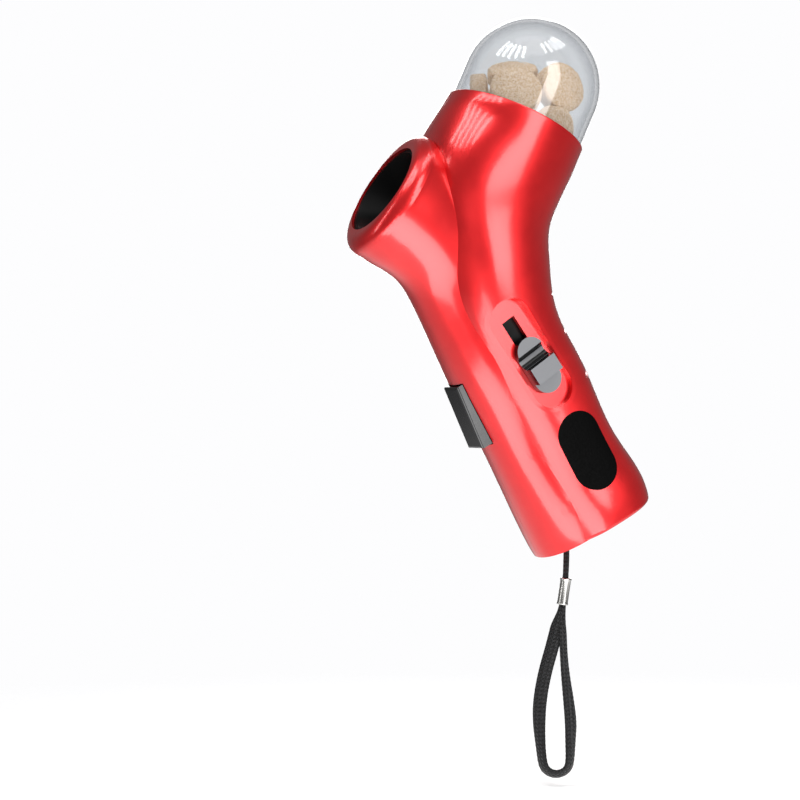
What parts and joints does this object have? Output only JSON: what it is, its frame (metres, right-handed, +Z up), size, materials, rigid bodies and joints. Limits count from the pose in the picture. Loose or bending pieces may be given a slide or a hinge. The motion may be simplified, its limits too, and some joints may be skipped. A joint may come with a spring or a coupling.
{
  "type": "push button treat dispenser",
  "caption": "Hand-held treat launcher: bent red body with a clear treat dome, flared muzzle, side cocking slider, trigger button, grip pads and wrist strap.",
  "frame": {"origin": "middle of the hand grip, on the grip axis in the plane of symmetry", "axes": "X-Z is the plane of symmetry, +Z up as the dispenser is held, -X the side that treats fly to, +Y its right side"},
  "size_m": [0.1134, 0.0524, 0.2768],
  "materials": {
    "red_shell": "pearl gloss paint",
    "dark_plastic": "matte",
    "gloss_black": "gloss with matte tops",
    "rubber": "fine grain",
    "clear_dome": "clear",
    "biscuit": "rough",
    "webbing": "flat braid",
    "steel": "satin"
  },
  "bodies": {
    "housing": {"shell_left": "red_shell", "shell_right": "red_shell", "shell_screws": "steel", "grip_pad_left": "rubber", "grip_pad_right": "rubber", "hopper_funnel": "dark_plastic", "barrel_tube": "dark_plastic", "muzzle_liner": "dark_plastic", "barrel_end_plug": "dark_plastic", "launch_spring": "steel", "treats": "biscuit", "button_spring": "steel", "sear_spring": "steel", "sear_pin": "steel", "lanyard_pin": "steel", "wrist_strap": "webbing", "strap_crimp": "steel"},
    "plunger": {"plunger_piston": "dark_plastic", "plunger_bumper": "rubber", "plunger_rod": "steel", "slider_arm": "dark_plastic", "slider_knob": "gloss_black", "slot_shutter": "dark_plastic"},
    "dome": {"treat_dome": "clear_dome", "dome_seal": "rubber"},
    "button": {"push_button": "gloss_black"},
    "sear": {"sear_lever": "dark_plastic"}
  },
  "joints": [
    {"name": "dome_lift", "type": "slide", "parent": "housing", "child": "dome", "axis": [0.4195, 0, 0.9078], "range_m": [0, 0.052]},
    {"name": "plunger_slide", "type": "slide", "parent": "housing", "child": "plunger", "axis": [-0.5736, 0, 0.8192], "range_m": [0, 0.016], "deforming": ["launch_spring"]},
    {"name": "button_press", "type": "slide", "parent": "housing", "child": "button", "axis": [0.8755, 0, 0.4833], "range_m": [0, 0.002], "stiffness_N_per_m": 300, "springref_m": -0.002, "deforming": ["button_spring"]},
    {"name": "sear_rock", "type": "hinge", "parent": "housing", "child": "sear", "pos_m": [-0.01147, 0, -0.00405], "axis": [0, 1, 0], "range_deg": [0, 15.5], "deforming": ["sear_spring"]}
  ],
  "couplings": [
    {"joint": "sear_rock", "follows": "button_press", "rad_per_m": 131}
  ]
}
